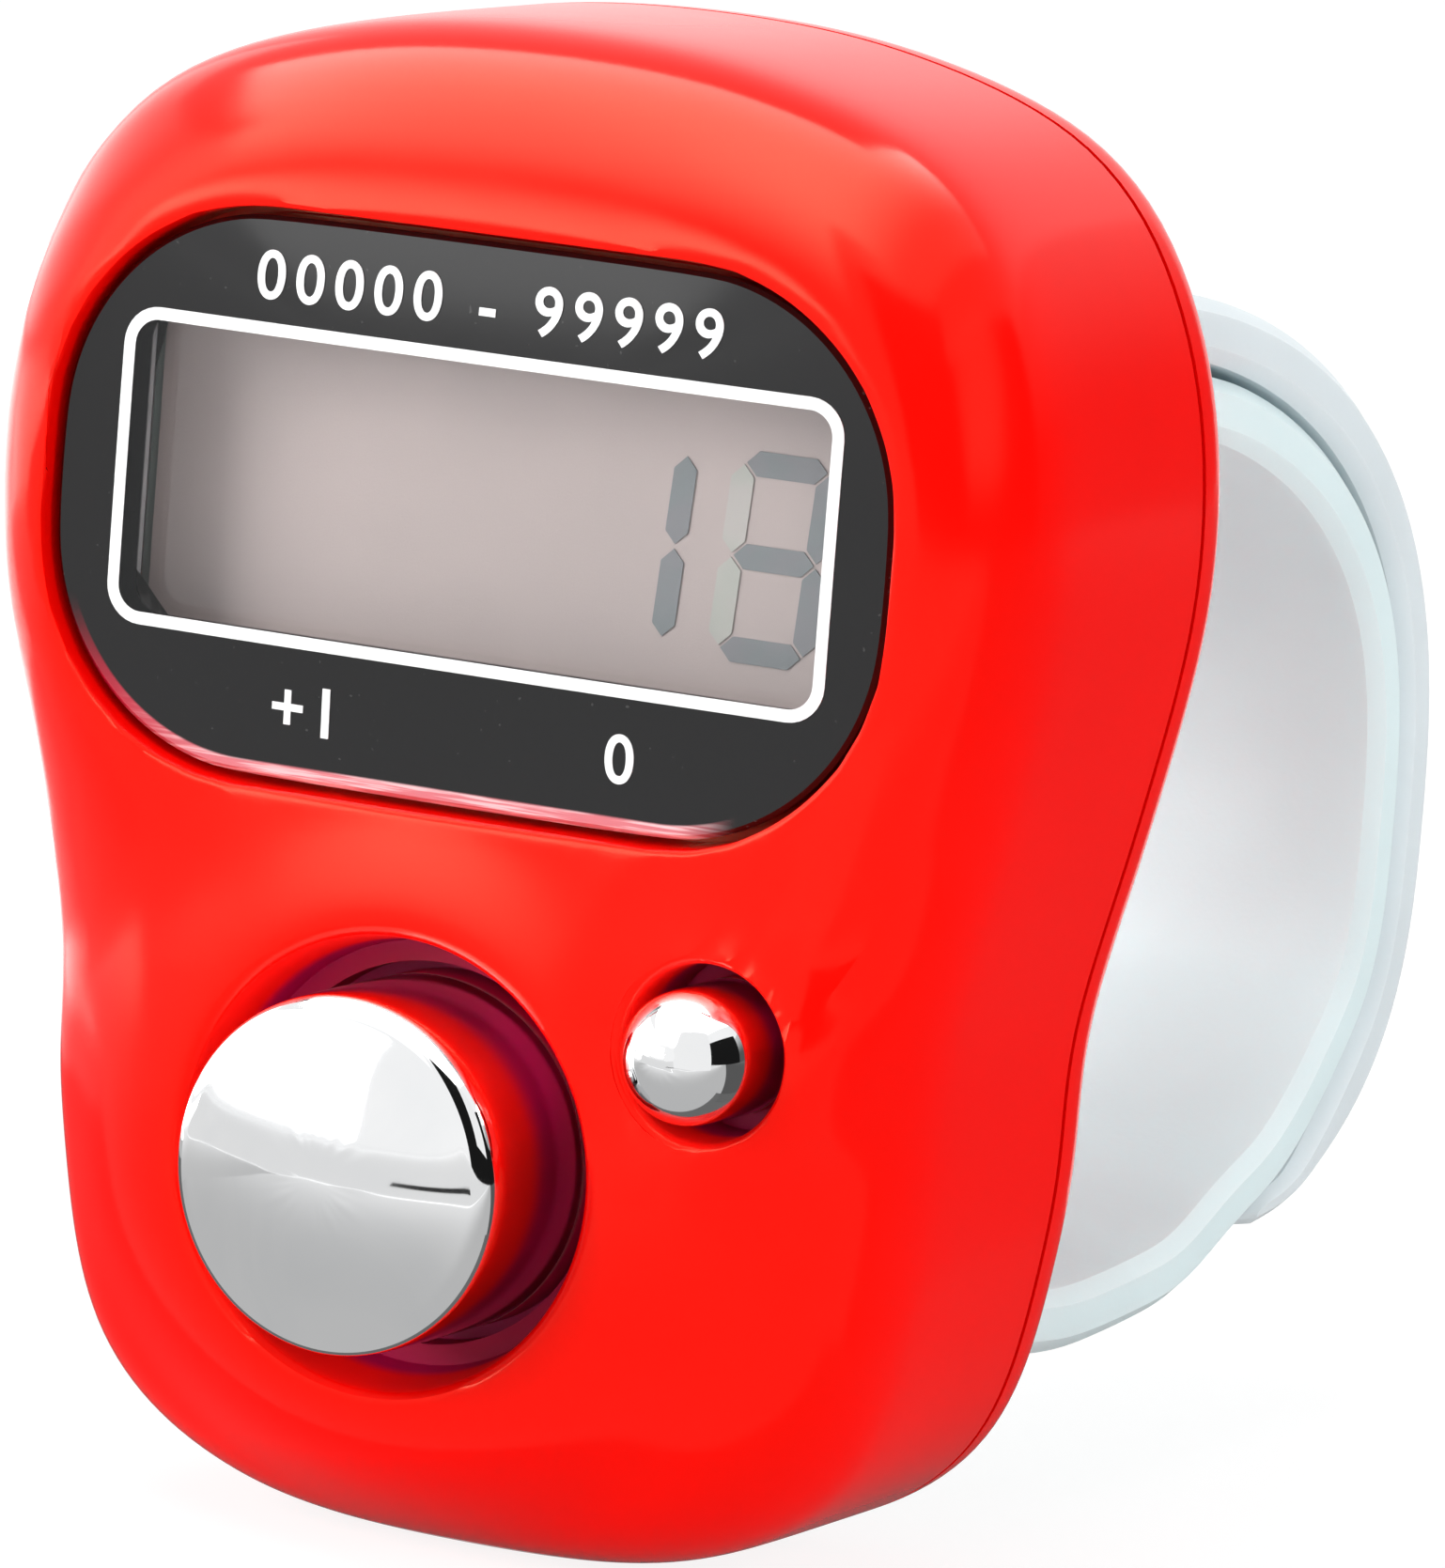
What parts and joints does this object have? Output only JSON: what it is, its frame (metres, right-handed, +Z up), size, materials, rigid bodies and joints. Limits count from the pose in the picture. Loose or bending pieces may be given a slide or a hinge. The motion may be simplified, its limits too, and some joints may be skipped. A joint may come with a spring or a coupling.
{
  "type": "digital tally counter",
  "caption": "Finger-worn digital tally counter: pear-shaped body with display, domed count button, small reset button and an adjustable strap.",
  "frame": {"origin": "middle of the space that the finger fills, between the back cover and the strap, level with the middle of the body's height", "axes": "-Y out of the display's face, +Z up towards the display's end of the body, +X to the right of someone who reads the display, along the finger"},
  "size_m": [0.031, 0.0462, 0.0404],
  "materials": {
    "red_plastic": "glossy moulded plastic",
    "lens_plastic": "clear lens printed black from behind round the display",
    "display_glass": "two panes of display glass",
    "display_film": "grey polarizing film",
    "zebra_rubber": "striped conductive silicone strip",
    "white_plastic": "moulded, matt",
    "board_green": "glass-fibre board, green lacquer",
    "epoxy": "black epoxy",
    "ceramic": "matt tan ceramic",
    "chrome": "bright chrome plating",
    "silicone": "milky silicone rubber",
    "carbon": "conductive carbon-filled rubber",
    "steel": "nickel-plated steel",
    "strap_plastic": "soft translucent moulded plastic"
  },
  "bodies": {
    "body": {"front_housing": "red_plastic", "back_cover": "red_plastic", "battery_door": "red_plastic", "window_lens": "lens_plastic", "lcd_cell": "display_glass", "lcd_front_polarizer": "display_film", "lcd_rear_polarizer": "display_film", "zebra_connector": "zebra_rubber", "display_frame": "white_plastic", "circuit_board": "board_green", "chip_blob": "epoxy", "chip_resistor_1": "epoxy", "chip_resistor_2": "epoxy", "chip_capacitor": "ceramic", "count_dome": "silicone", "reset_dome": "silicone", "button_cell": "steel", "battery_negative_contact": "steel", "battery_positive_contact": "steel", "board_screw_1": "steel", "board_screw_2": "steel", "battery_door_screw": "steel", "housing_screw_1": "steel", "housing_screw_2": "steel", "housing_screw_3": "steel", "housing_screw_4": "steel", "strap_upper": "strap_plastic", "strap_lower": "strap_plastic"},
    "count_button": {"count_button": "chrome", "count_contact_pill": "carbon"},
    "reset_button": {"reset_button": "chrome", "reset_contact_pill": "carbon"}
  },
  "joints": [
    {"name": "count_press", "type": "slide", "parent": "body", "child": "count_button", "axis": [0, 1, 0], "range_m": [0, 0.001], "stiffness_N_per_m": 1200, "deforming": ["count_dome"]},
    {"name": "reset_press", "type": "slide", "parent": "body", "child": "reset_button", "axis": [0, 1, 0], "range_m": [0, 0.0006], "stiffness_N_per_m": 1500, "deforming": ["reset_dome"]}
  ]
}
